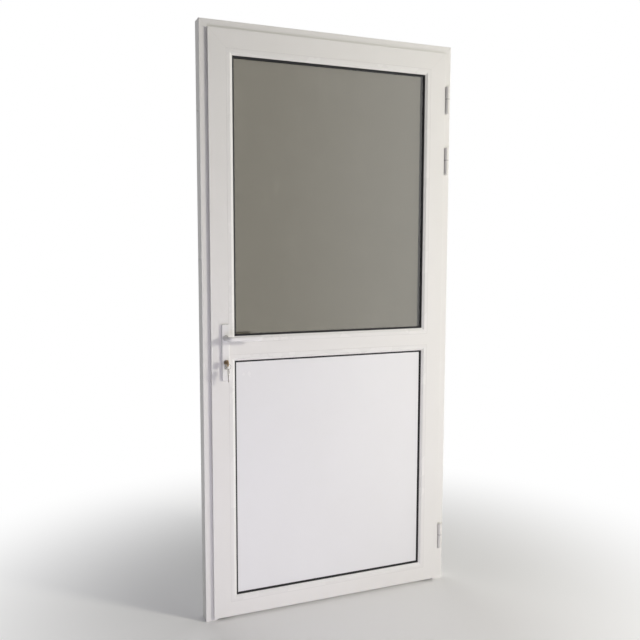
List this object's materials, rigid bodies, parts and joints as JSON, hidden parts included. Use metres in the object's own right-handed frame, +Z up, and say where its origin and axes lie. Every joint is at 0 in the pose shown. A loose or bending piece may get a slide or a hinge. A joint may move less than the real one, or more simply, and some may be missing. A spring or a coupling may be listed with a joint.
{
  "type": "aluminium casement door",
  "caption": "White aluminium casement door in its frame, glass above and a flat infill panel below, with barrel hinges, lever handles and a key in the lock.",
  "frame": {"origin": "on the outer face of the hinge-side jamb, at the middle of its depth and at floor level", "axes": "+X out of the hinge-side jamb's outer face, +Z up, -Y the side with the hinges, towards which the leaf opens"},
  "size_m": [0.975, 0.158, 2.1],
  "materials": {
    "white_coat": "gloss white powder coat on aluminium",
    "white_bead": "gloss white powder coat on aluminium",
    "white_panel": "gloss white skin",
    "glazing": "clear polished glass",
    "spacer_metal": "mill finish",
    "black_gasket": "smooth black rubber",
    "white_hardware": "gloss white enamel",
    "white_hinge": "gloss white powder coat",
    "hinge_washer": "dark nylon",
    "lock_steel": "zinc plated, satin",
    "cylinder_nickel": "nickel plated",
    "key_brass": "worn brass"
  },
  "bodies": {
    "frame": {"hinge_jamb": "white_coat", "lock_jamb": "white_coat", "head": "white_coat", "strike_plate": "lock_steel", "stop_seals": "black_gasket", "bottom_hinge_frame_part": "white_hinge", "middle_hinge_frame_part": "white_hinge", "top_hinge_frame_part": "white_hinge", "hinge_washers": "hinge_washer"},
    "leaf": {"lock_stile": "white_coat", "hinge_stile": "white_coat", "top_rail": "white_coat", "mid_rail": "white_coat", "bottom_rail": "white_coat", "glass_bead_left": "white_bead", "glass_bead_right": "white_bead", "glass_bead_top": "white_bead", "glass_bead_bottom": "white_bead", "panel_bead_left": "white_bead", "panel_bead_right": "white_bead", "panel_bead_top": "white_bead", "panel_bead_bottom": "white_bead", "infill_panel": "white_panel", "outer_glass": "glazing", "inner_glass": "glazing", "glass_spacer": "spacer_metal", "overlap_seals": "black_gasket", "glass_front_gasket": "black_gasket", "panel_front_gasket": "black_gasket", "back_gaskets": "black_gasket", "outer_backplate": "white_hardware", "inner_backplate": "white_hardware", "bottom_hinge_leaf_part": "white_hinge", "middle_hinge_leaf_part": "white_hinge", "top_hinge_leaf_part": "white_hinge", "lock_faceplate": "lock_steel", "lock_case": "lock_steel", "lock_bolts": "lock_steel", "lock_cylinder": "cylinder_nickel", "key_in_lock": "key_brass"},
    "lever": {"outer_lever": "white_hardware", "inner_lever": "white_hardware", "spindle": "lock_steel"},
    "key_bunch": {"key_ring": "cylinder_nickel", "spare_key": "cylinder_nickel"}
  },
  "joints": [
    {"name": "leaf_swing", "type": "hinge", "parent": "frame", "child": "leaf", "pos_m": [-0.0175, -0.035, 1], "axis": [0, 0, 1], "range_deg": [0, 110]},
    {"name": "lever_turn", "type": "hinge", "parent": "leaf", "child": "lever", "pos_m": [-0.8975, 0, 1.026], "axis": [0, 1, 0], "range_deg": [0, 40], "stiffness_Nm_per_rad": 1.5, "springref_deg": -20.05},
    {"name": "key_swing", "type": "hinge", "parent": "leaf", "child": "key_bunch", "pos_m": [-0.8975, -0.0738, 0.941], "axis": [1, 0, 0], "range_deg": [-60, 15]}
  ]
}
